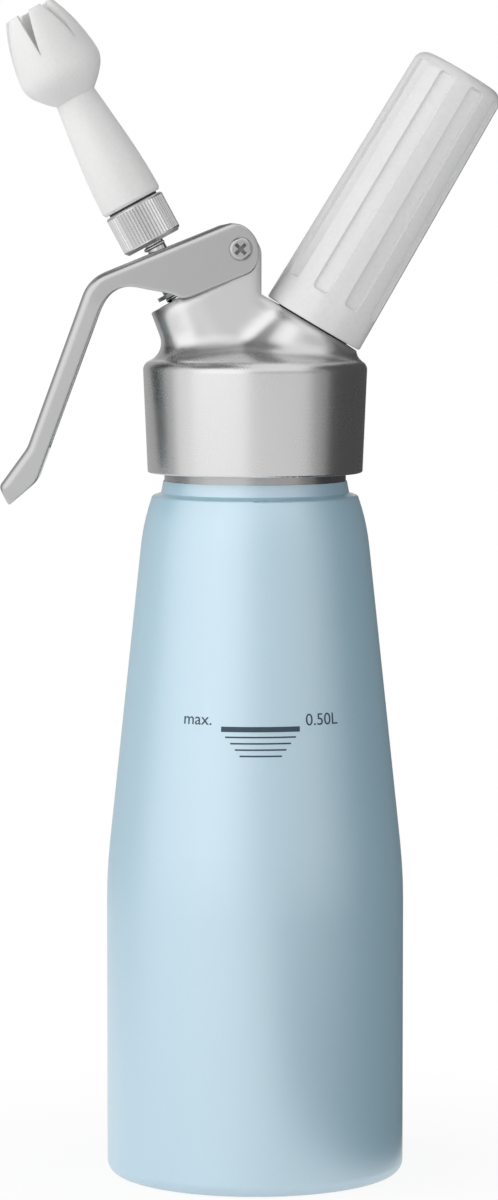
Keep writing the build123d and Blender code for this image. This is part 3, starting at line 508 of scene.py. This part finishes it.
def recessed_metal(name, base, roughness, look):
    """Metal of the pivot screw, duller down in its cross recess, where painted shade darkens its
    colour.
    """
    material, tree, shader, place = new_material(name)
    low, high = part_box("pivot_screw")
    middle = ((low[0] + high[0]) / 2, 0, (low[2] + high[2]) / 2)
    centred = tree.vector("SUBTRACT", place, middle)
    parts = tree.split(tree.turn_about_y(centred, look.recess_turn))
    across = tree.math("ABSOLUTE", parts["X"])
    along = tree.math("ABSOLUTE", parts["Z"])

    # the mask of the painted shade, which also dulls the metal, goes just past the recess's sides
    # and ends, and is full at half its depth
    side, end = look.recess_width * 0.53, look.recess_span * 0.52
    narrow = tree.math("LESS_THAN", tree.math("MINIMUM", across, along), side)
    near = tree.math("LESS_THAN", tree.math("MAXIMUM", across, along), end)
    deep = tree.span(parts["Y"], low[1], low[1] + look.recess_depth * 0.5)
    recess = tree.math("MULTIPLY", tree.math("MULTIPLY", narrow, near), deep)

    stretched = tree.stretch(place, ALONG_Y)
    lines = place_group(tree, drawn_lines(), Coordinates=stretched, Fineness=2400.0)["Lines"]
    worn = tree.mix(lines, tuple(base), darker(base, kept=0.85))
    dull = 0.8
    # painted shade: down in the recess the metal's colour turns to the recess grey
    tree.join(tree.mix(recess, worn, tuple(look.recess)), shader["Base Color"])
    tree.join(tree.span(recess, 0.0, 1.0, roughness, dull), shader["Roughness"])
    tree.join(bump(tree, lines, distance=0.00002), shader["Normal"])
    shader["Metallic"].default_value = 1.0
    return material


def moulded_plastic(
    name, base, roughness, spread=0.06, grain=1800.0, depth=0.00001, coat=0.0, milky=0.0
):
    """Moulded plastic or rubber with a faint skin texture, in which light spreads where milky."""
    material, tree, shader, place = new_material(name)
    skin = place_group(
        tree,
        grained_surface(),
        Coordinates=place,
        Color=tuple(base),
        Pit_Color=darker(base, kept=0.93),
        Grain_Scale=grain,
        Patch_Scale=PLASTIC_PATCH,
        Roughness=roughness,
        Roughness_Spread=spread,
    )
    tree.join(skin["Color"], shader["Base Color"])
    tree.join(skin["Roughness"], shader["Roughness"])
    tree.join(bump(tree, skin["Height"], depth), shader["Normal"])
    shader["IOR"].default_value = PLASTIC_INDEX
    shader["Coat Weight"].default_value = coat
    shader["Coat Roughness"].default_value = GLOSS_ROUGHNESS
    shader["Subsurface Weight"].default_value = milky
    shader["Subsurface Radius"].default_value = (1, 1, 1)
    shader["Subsurface Scale"].default_value = MILKY_REACH
    return material


def dress(material, *names):
    """Give CAD nodes their material."""
    for name in names:
        node = frame["nodes"][name]
        node.data.materials.clear()
        node.data.materials.append(material)


# ---------------------------------------------------------------- bottle and fill mark


class DISPENSER_OT_bottle(bpy.types.Operator):
    """Matt lacquer on the bottle, bare metal on its neck and inside"""

    bl_idname = "dispenser.bottle"
    bl_label = "Bottle"

    def execute(self, context):
        look = context.scene.dispenser_bottle
        metal = context.scene.dispenser_metal
        material, tree, shader, place = new_material("bottle_lacquer")
        skin = place_group(
            tree,
            grained_surface(),
            Coordinates=place,
            Color=tuple(look.lacquer),
            Pit_Color=tuple(look.pits),
            Grain_Scale=1500.0,
            Patch_Scale=24.0,
            Roughness=look.roughness,
            Roughness_Spread=0.05,
        )
        rings = place_group(
            tree,
            drawn_lines(),
            Coordinates=tree.stretch(place, RINGED),
            Fineness=3500.0,
        )

        # bare above the lacquer's end, and on every face that looks towards the axis
        inward = -0.002
        neck = tree.math("GREATER_THAN", tree.split(place)["Z"], look.bare_from)
        normal = tree.add("ShaderNodeTexCoord").outputs["Normal"]
        outward = tree.vector("DOT_PRODUCT", normal, tree.stretch(place, (1, 1, 0)))
        inside = tree.math("LESS_THAN", outward, inward)
        bare = tree.math("MAXIMUM", neck, inside)

        turned = tree.span(rings["Lines"], *LINES_RANGE, to_low=0.20, to_high=0.34)
        rough = tree.mix(bare, skin["Roughness"], turned, "FLOAT")
        relief = bump(tree, skin["Height"], distance=0.000015, strength=0.35)
        tree.join(tree.mix(bare, skin["Color"], tuple(metal.bare)), shader["Base Color"])
        tree.join(rough, shader["Roughness"])
        tree.join(bare, shader["Metallic"])
        tree.join(relief, shader["Normal"])
        tree.join(tree.math("SUBTRACT", 1.0, bare), shader["Coat Weight"])
        shader["IOR"].default_value = look.index
        shader["Coat Roughness"].default_value = look.coat_roughness
        shader["Coat IOR"].default_value = look.coat_index
        dress(material, "bottle_shell")
        return {"FINISHED"}


OUTSIDE = 0.2  # a distance from the axis that is outside the bottle
PRINT_LIFT = 0.00006  # height of the print over the lacquer
PRINT_STEP = 0.0005  # length that the print's edges are cut down towards
WORD_CUTS = 3  # most times that a word's edges are cut
BAR_COLUMNS = 40  # pieces across a bar, so that it follows the bottle


def wrap_on_bottle(points, turn, height):
    """Flat points (side, rise) laid on the bottle's outside, at a turn from the front."""
    bottle = frame["nodes"]["bottle_shell"]
    found, radius = [], None
    for side, rise in points:
        level = height + rise
        if radius is None:
            hit = bottle.ray_cast(Vector((0, -OUTSIDE, level)), Vector((0, 1, 0)))
            radius = -hit[1].y
        angle = turn + side / radius
        outward = Vector((sin(angle), -cos(angle), 0))
        hit = bottle.ray_cast(outward * OUTSIDE + Vector((0, 0, level)), -outward)
        if not hit[0]:
            raise RuntimeError("the fill mark misses the bottle")
        found.append(hit[1] + outward * PRINT_LIFT)
    return found


def flat_bar(width, thickness):
    """Points and faces of a flat bar about its middle, in short pieces."""
    rows = max(1, round(thickness / PRINT_STEP))
    points = [
        (width * (column / BAR_COLUMNS - 0.5), thickness * (row / rows - 0.5))
        for row in range(rows + 1)
        for column in range(BAR_COLUMNS + 1)
    ]
    faces = []
    for row in range(rows):
        for column in range(BAR_COLUMNS):
            first = row * (BAR_COLUMNS + 1) + column
            above = first + BAR_COLUMNS + 1
            faces.append((first, first + 1, above + 1, above))
    return points, faces


def flat_word(text, size):
    """Points and faces of a flat word from its left end on its baseline, in short edges."""
    curve = bpy.data.curves.new("word", "FONT")
    curve.body = text
    curve.size = size
    word = bpy.data.objects.new("word", curve)
    bpy.context.scene.collection.objects.link(word)
    bpy.context.view_layer.update()
    evaluated = word.evaluated_get(bpy.context.evaluated_depsgraph_get())
    mesh = bpy.data.meshes.new_from_object(evaluated)
    bpy.data.objects.remove(word)
    bpy.data.curves.remove(curve)
    made = bmesh.new()
    made.from_mesh(mesh)
    bmesh.ops.triangulate(made, faces=made.faces)
    for _ in range(WORD_CUTS):
        long_edges = [edge for edge in made.edges if edge.calc_length() > PRINT_STEP]
        if long_edges:
            bmesh.ops.subdivide_edges(made, edges=long_edges, cuts=1)
            bmesh.ops.triangulate(made, faces=made.faces)
    made.to_mesh(mesh)
    made.free()
    points = [(vertex.co.x, vertex.co.y) for vertex in mesh.vertices]
    faces = [tuple(polygon.vertices) for polygon in mesh.polygons]
    bpy.data.meshes.remove(mesh)
    return points, faces


class DISPENSER_OT_fill_mark(bpy.types.Operator):
    """Printed fill mark: a thick bar, four thin lines, a word and a volume"""

    bl_idname = "dispenser.fill_mark"
    bl_label = "Fill mark"

    def execute(self, context):
        look = context.scene.dispenser_mark
        made = bmesh.new()

        def add(shape, turn, height):
            points, faces = shape
            corners = [made.verts.new(point) for point in wrap_on_bottle(points, turn, height)]
            for face in faces:
                made.faces.new([corners[index] for index in face])

        add(flat_bar(look.bar_width, look.bar_thickness), look.turn, look.bar_height)
        for line, width in enumerate(look.line_widths):
            height = look.bar_height - look.line_drop - look.line_pitch * line
            add(flat_bar(width, look.line_thickness), look.turn, height)
        for text, turn, rise in (
            (look.word, look.word_turn, look.word_rise),
            (look.volume, look.volume_turn, look.volume_rise),
        ):
            add(flat_word(text, look.letter_size), turn, look.bar_height + rise)

        mesh = bpy.data.meshes.new("fill_mark")
        made.to_mesh(mesh)
        made.free()
        mark = bpy.data.objects.new("fill_mark", mesh)
        context.scene.collection.objects.link(mark)
        ink = moulded_plastic("mark_ink", look.ink, roughness=0.5, spread=0.12, grain=5000.0)
        mesh.materials.append(ink)
        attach(mark, "bottle")
        return {"FINISHED"}


# ---------------------------------------------------------------- head, lever and valve


class DISPENSER_OT_head(bpy.types.Operator):
    """Satin casting and lever, with the pivot's screw and sleeve"""

    bl_idname = "dispenser.head"
    bl_label = "Head and lever"

    def execute(self, context):
        metal = context.scene.dispenser_metal
        casting = satin_metal(
            "head_satin",
            metal.casting,
            roughness=0.27,
            spread=0.015,
            depth=0.0000015,
            edge=metal.casting_edge,
            edge_from=metal.casting_edge_from,
        )
        dress(casting, "head_casting")
        lever = satin_metal(
            "lever_satin",
            metal.lever,
            roughness=0.24,
            spread=0.015,
            grain=3200.0,
            depth=0.0000015,
            edge=metal.lever_edge,
        )
        dress(lever, "lever")
        sleeve = drawn_metal("sleeve_steel", metal.steel, roughness=0.24, lines_way=ALONG_Y)
        dress(sleeve, "pivot_sleeve")
        screw = recessed_metal("screw_steel", metal.lever, 0.24, context.scene.dispenser_screw)
        dress(screw, "pivot_screw")
        return {"FINISHED"}


WIRE_SIDES = 12
STEPS_PER_TURN = 40


def reach_along(name, foot, up):
    """A node's lowest and highest place along an axis, and its largest distance from it."""
    rises, radii = [], []
    for vertex in frame["nodes"][name].data.vertices:
        offset = vertex.co - foot
        rise = offset.dot(up)
        rises.append(rise)
        radii.append((offset - up * rise).length)
    return min(rises), max(rises), max(radii)


def coil_mesh(name, foot, up, low, high, radius, look):
    """Round wire wound about an axis, with its end coils laid flat."""
    wire, turns, flat = look.wire, look.turns, look.flat_turns
    side = Vector((up.z, 0, -up.x))
    front = up.cross(side)
    corners = [2 * pi * corner / WIRE_SIDES for corner in range(WIRE_SIDES)]
    made = bmesh.new()
    rings = []
    steps = round(turns * STEPS_PER_TURN)
    for step in range(steps + 1):
        turn = turns * step / steps
        # the pitch is even between the flat turns
        climbed = min(max((turn - flat) / (turns - 2 * flat), 0.0), 1.0)
        rise = low + wire + (high - low - 2 * wire) * climbed
        outward = side * cos(2 * pi * turn) + front * sin(2 * pi * turn)
        centre = foot + up * rise + outward * (radius - wire)
        rings.append([
            made.verts.new(centre + (outward * cos(angle) + up * sin(angle)) * wire)
            for angle in corners
        ])
    for first, second in zip(rings, rings[1:]):
        for corner in range(WIRE_SIDES):
            after = (corner + 1) % WIRE_SIDES
            made.faces.new((first[corner], first[after], second[after], second[corner]))
    made.faces.new(rings[0][::-1])
    made.faces.new(rings[-1])
    bmesh.ops.recalc_face_normals(made, faces=made.faces)
    mesh = bpy.data.meshes.new(name)
    made.to_mesh(mesh)
    made.free()
    mesh.polygons.foreach_set("use_smooth", [True] * len(mesh.polygons))
    return mesh


class DISPENSER_OT_valve(bpy.types.Operator):
    """Stem, collar, clip and guide of the valve, and a wound spring in place of the solid one"""

    bl_idname = "dispenser.valve"
    bl_label = "Valve"

    def execute(self, context):
        metal = context.scene.dispenser_metal
        plastic = context.scene.dispenser_plastic
        stem = drawn_metal("stem_steel", metal.steel, 0.20, TURNED, STEM_UP)
        dress(stem, "valve_stem")
        wire = drawn_metal("wire_steel", metal.steel, 0.24, EVEN, STEM_UP, fineness=900.0)
        dress(wire, "retaining_clip", "valve_spring")

        # the solid spring is hidden, and a wound one over its reach, attached to the head, shows
        # instead
        low, high, radius = reach_along("valve_spring", STEM_FOOT, STEM_UP)
        look = context.scene.dispenser_spring
        mesh = coil_mesh("return_spring", STEM_FOOT, STEM_UP, low, high, radius, look)
        mesh.materials.append(wire)
        spring = bpy.data.objects.new("return_spring", mesh)
        context.scene.collection.objects.link(spring)
        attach(spring, "head")
        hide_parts("valve_spring")
        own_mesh(spring)

        dress(moulded_plastic("guide_acetal", plastic.dark, roughness=0.38), "stem_guide")
        collar = satin_metal("collar_steel", metal.collar, roughness=0.3, spread=0.05)
        dress(collar, "spring_collar")
        return {"FINISHED"}


# ---------------------------------------------------------------- tip, charger and seals


class DISPENSER_OT_tip(bpy.types.Operator):
    """Knurled adapter, dark ring and decorating tip"""

    bl_idname = "dispenser.tip"
    bl_label = "Tip"

    def execute(self, context):
        metal = context.scene.dispenser_metal
        plastic = context.scene.dispenser_plastic
        adapter = drawn_metal("adapter_steel", metal.steel, 0.26, TURNED, STEM_UP, fineness=1800.0)
        dress(adapter, "nozzle_adapter")
        dress(moulded_plastic("ring_acetal", plastic.dark, roughness=0.42), "tip_ring")
        tip = moulded_plastic(
            "tip_polypropylene",
            plastic.tip,
            roughness=0.38,
            spread=0.08,
            grain=1400.0,
            milky=plastic.milky,
        )
        dress(tip, "decorator_tip")
        return {"FINISHED"}


class DISPENSER_OT_charger(bpy.types.Operator):
    """Fluted holder, the charger in it, and the insert and pin that it seats on"""

    bl_idname = "dispenser.charger"
    bl_label = "Charger"

    def execute(self, context):
        metal = context.scene.dispenser_metal
        plastic = context.scene.dispenser_plastic
        gloss = moulded_plastic(
            "holder_gloss",
            plastic.holder,
            roughness=0.22,
            spread=0.05,
            grain=900.0,
            depth=0.000008,
            coat=0.4,
        )
        dress(gloss, "charger_holder")
        steel = satin_metal("charger_steel", metal.steel, roughness=0.25, spread=0.08)
        dress(steel, "gas_charger", "charger_cap")
        brass = drawn_metal("housing_brass", metal.brass, 0.24, TURNED, CHARGER_UP)
        dress(brass, "pin_housing")
        pin = drawn_metal("pin_steel", metal.steel, 0.18, TURNED, CHARGER_UP)
        dress(pin, "piercing_pin")
        return {"FINISHED"}


class DISPENSER_OT_seals(bpy.types.Operator):
    """Rubber seals and the silicone head gasket"""

    bl_idname = "dispenser.seals"
    bl_label = "Seals"

    def execute(self, context):
        plastic = context.scene.dispenser_plastic
        rubber = moulded_plastic(
            "seal_rubber", plastic.rubber, roughness=0.55, spread=0.12, grain=2200.0
        )
        dress(rubber, "stem_o_ring", "valve_seal", "adapter_seal", "charger_gasket", "check_sleeve")
        silicone = moulded_plastic(
            "gasket_silicone", plastic.silicone, roughness=0.5, spread=0.1, grain=1600.0
        )
        dress(silicone, "head_gasket")
        return {"FINISHED"}


# ---------------------------------------------------------------- stage


FLOOR_REACH = 4.0  # from the object to each side of the floor
SENSOR = 36.0  # millimetres
NEAREST = 0.05  # nearest that the camera sees


def seen_directly(tree):
    """One for rays from the camera, and for those that metal and clear pieces send on."""
    path = tree.add("ShaderNodeLightPath")
    seen = tree.math("MAXIMUM", path.outputs["Is Camera Ray"], path.outputs["Is Glossy Ray"])
    return tree.math("MAXIMUM", seen, path.outputs["Is Transmission Ray"])


def upright(first, second, low, high):
    """Corners of an upright card between two places on the floor."""
    return [(*first, low), (*second, low), (*second, high), (*first, high)]


def lying(first, second, height):
    """Corners of a card that lies level, two of them opposite and over places on the floor."""
    return [
        (*first, height),
        (second[0], first[1], height),
        (*second, height),
        (first[0], second[1], height),
    ]


def new_card(name, corners, material):
    """A flat studio card from four corners."""
    mesh = bpy.data.meshes.new(name)
    mesh.from_pydata(corners, [], [(0, 1, 2, 3)])
    mesh.materials.append(material)
    card = bpy.data.objects.new(name, mesh)
    bpy.context.scene.collection.objects.link(card)
    return card


def emission(tree, strength):
    """A white glow."""
    glow = tree.add("ShaderNodeEmission")
    glow.inputs["Strength"].default_value = strength
    return glow


def make_world(look):
    """White to the eye and in reflections, and softer as light."""
    world = bpy.data.worlds.new("studio")
    tree = cleared_tree(world)
    light = tree.add("ShaderNodeBackground")
    light.inputs["Color"].default_value = (1, 1, 1, 1)
    strength = tree.math("MAXIMUM", seen_directly(tree), look.world_light)
    tree.join(strength, light.inputs["Strength"])
    tree.end("ShaderNodeOutputWorld", light)
    bpy.context.scene.world = world


def make_floor(look):
    """Nearly white beside the object, where it keeps a faint shadow, and white further out."""
    material = bpy.data.materials.new("studio_floor")
    tree = cleared_tree(material)
    distance = tree.vector("LENGTH", tree.place())
    far = tree.span(distance, look.floor_near, look.floor_far, look.floor_white, 1.0)
    plain = tree.add("ShaderNodeBsdfDiffuse")
    plain.inputs["Color"].default_value = (*look.floor, 1)
    blend = tree.add("ShaderNodeMixShader")
    tree.join(tree.math("MULTIPLY", far, seen_directly(tree)), blend.inputs[0])
    tree.join(plain.outputs[0], blend.inputs[1])
    tree.join(emission(tree, 1.0).outputs[0], blend.inputs[2])
    tree.end("ShaderNodeOutputMaterial", blend)
    corners = lying((-FLOOR_REACH, -FLOOR_REACH), (FLOOR_REACH, FLOOR_REACH), 0)
    new_card("studio_floor", corners, material)


def make_cards(look):
    """Cards that show only in reflections, as the metal's dark, grey and bright bands."""
    # upright: two places on the floor, low edge, high edge; lying: two places, height
    right_bend, left_bend, front_bend = (0.28, 0.45), (-0.28, 0.45), (1.70, -1.10)
    for name, brightness, corners in (
        ("card_right", look.card_right, upright((0.42, -0.08), right_bend, 0.0, 0.7)),
        ("card_far_right", look.card_right, upright(right_bend, (0.16, 0.80), 0.0, 0.5)),
        ("card_left", look.card_left, upright((-0.44, 0.00), left_bend, 0.0, 0.7)),
        ("card_far_left", look.card_left, upright(left_bend, (-0.17, 0.80), 0.0, 0.5)),
        ("card_back", look.card_back, upright((-0.45, 0.55), (0.45, 0.55), 0.42, 1.1)),
        ("card_front", look.card_front, upright((-0.20, -1.90), front_bend, 0.0, 1.0)),
        ("card_side", look.card_side, upright(front_bend, (0.60, -0.10), 0.0, 1.0)),
        ("card_key", look.key_shine, upright((-1.10, -0.45), (-0.14, -1.16), 0.05, 1.25)),
        ("card_top", look.card_top, lying((-0.75, -0.35), (-0.10, 0.35), 0.85)),
        ("card_low_right", look.card_right, lying((0.05, -0.40), (0.60, 0.60), 0.001)),
    ):
        material = bpy.data.materials.new(name)
        tree = cleared_tree(material)
        tree.end("ShaderNodeOutputMaterial", emission(tree, brightness))
        card = new_card(name, corners, material)
        card.visible_camera = False
        card.visible_diffuse = False
        card.visible_shadow = False


def make_lights(look):
    """Rectangular lamps that face a height on the axis, and don't show in reflections."""
    # name, power, place, height that it faces, and its two sides
    for name, watts, place, aim_height, size in (
        ("key", look.key_power, (-0.62, -0.80, 0.62), 0.16, (1.2, 1.4)),
        ("side", look.side_power, (-0.95, -0.10, 0.45), 0.14, (0.5, 0.9)),
        ("fill", look.fill_power, (0.85, -0.70, 0.45), 0.15, (0.7, 0.8)),
    ):
        data = bpy.data.lights.new(name, "AREA")
        data.shape = "RECTANGLE"
        data.size, data.size_y = size
        data.energy = watts
        light = bpy.data.objects.new(name, data)
        light.location = place
        direction = Vector((0, 0, aim_height)) - Vector(place)
        light.rotation_euler = direction.to_track_quat("-Z", "Y").to_euler()
        light.visible_glossy = False
        bpy.context.scene.collection.objects.link(light)


def make_camera(look):
    """The camera, at the eye and aimed at the object's middle."""
    eye = Vector((look.aim_side, -look.eye_distance, look.eye_height))
    aim = Vector((look.aim_side, 0, look.aim_height))
    data = bpy.data.cameras.new("camera")
    data.sensor_fit = "VERTICAL"
    data.sensor_height = SENSOR
    data.lens = SENSOR * (aim - eye).length / look.frame_height
    data.clip_start = NEAREST
    camera = bpy.data.objects.new("camera", data)
    camera.location = eye
    camera.rotation_euler = (aim - eye).to_track_quat("-Z", "Y").to_euler()
    bpy.context.scene.collection.objects.link(camera)
    bpy.context.scene.camera = camera


class DISPENSER_OT_stage(bpy.types.Operator):
    """Pale floor, studio lights, cards and the camera"""

    bl_idname = "dispenser.stage"
    bl_label = "Stage"

    def execute(self, context):
        look = context.scene.dispenser_stage
        context.scene.view_settings.view_transform = "Standard"
        make_world(look)
        make_floor(look)
        make_cards(look)
        make_lights(look)
        make_camera(look)
        return {"FINISHED"}


# ---------------------------------------------------------------- add-on


OPERATORS = (
    DISPENSER_OT_bottle,
    DISPENSER_OT_fill_mark,
    DISPENSER_OT_head,
    DISPENSER_OT_valve,
    DISPENSER_OT_tip,
    DISPENSER_OT_charger,
    DISPENSER_OT_seals,
    DISPENSER_OT_stage,
)


class DISPENSER_PT_panel(bpy.types.Panel):
    """Sizes, colours and makers of the dispenser's finish"""

    bl_idname = "DISPENSER_PT_panel"
    bl_label = "Whipped cream dispenser"
    bl_space_type = "VIEW_3D"
    bl_region_type = "UI"
    bl_category = "Dispenser"

    def draw(self, context):
        for name in SETTINGS:
            box = self.layout.box()
            group = getattr(context.scene, name)
            for prop in group.bl_rna.properties:
                if prop.identifier not in ("rna_type", "name"):
                    box.prop(group, prop.identifier)
        for operator in OPERATORS:
            self.layout.operator(operator.bl_idname)


def register():
    for name, group in SETTINGS.items():
        bpy.utils.register_class(group)
        setattr(bpy.types.Scene, name, PointerProperty(type=group))
    for operator in OPERATORS:
        bpy.utils.register_class(operator)
    bpy.utils.register_class(DISPENSER_PT_panel)


def unregister():
    bpy.utils.unregister_class(DISPENSER_PT_panel)
    for operator in reversed(OPERATORS):
        bpy.utils.unregister_class(operator)
    for name, group in SETTINGS.items():
        delattr(bpy.types.Scene, name)
        bpy.utils.unregister_class(group)


def main():
    """Registers the classes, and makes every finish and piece."""
    register()
    for operator in OPERATORS:
        group, action = operator.bl_idname.split(".")
        getattr(getattr(bpy.ops, group), action)()


if __name__ == "__main__":
    main()
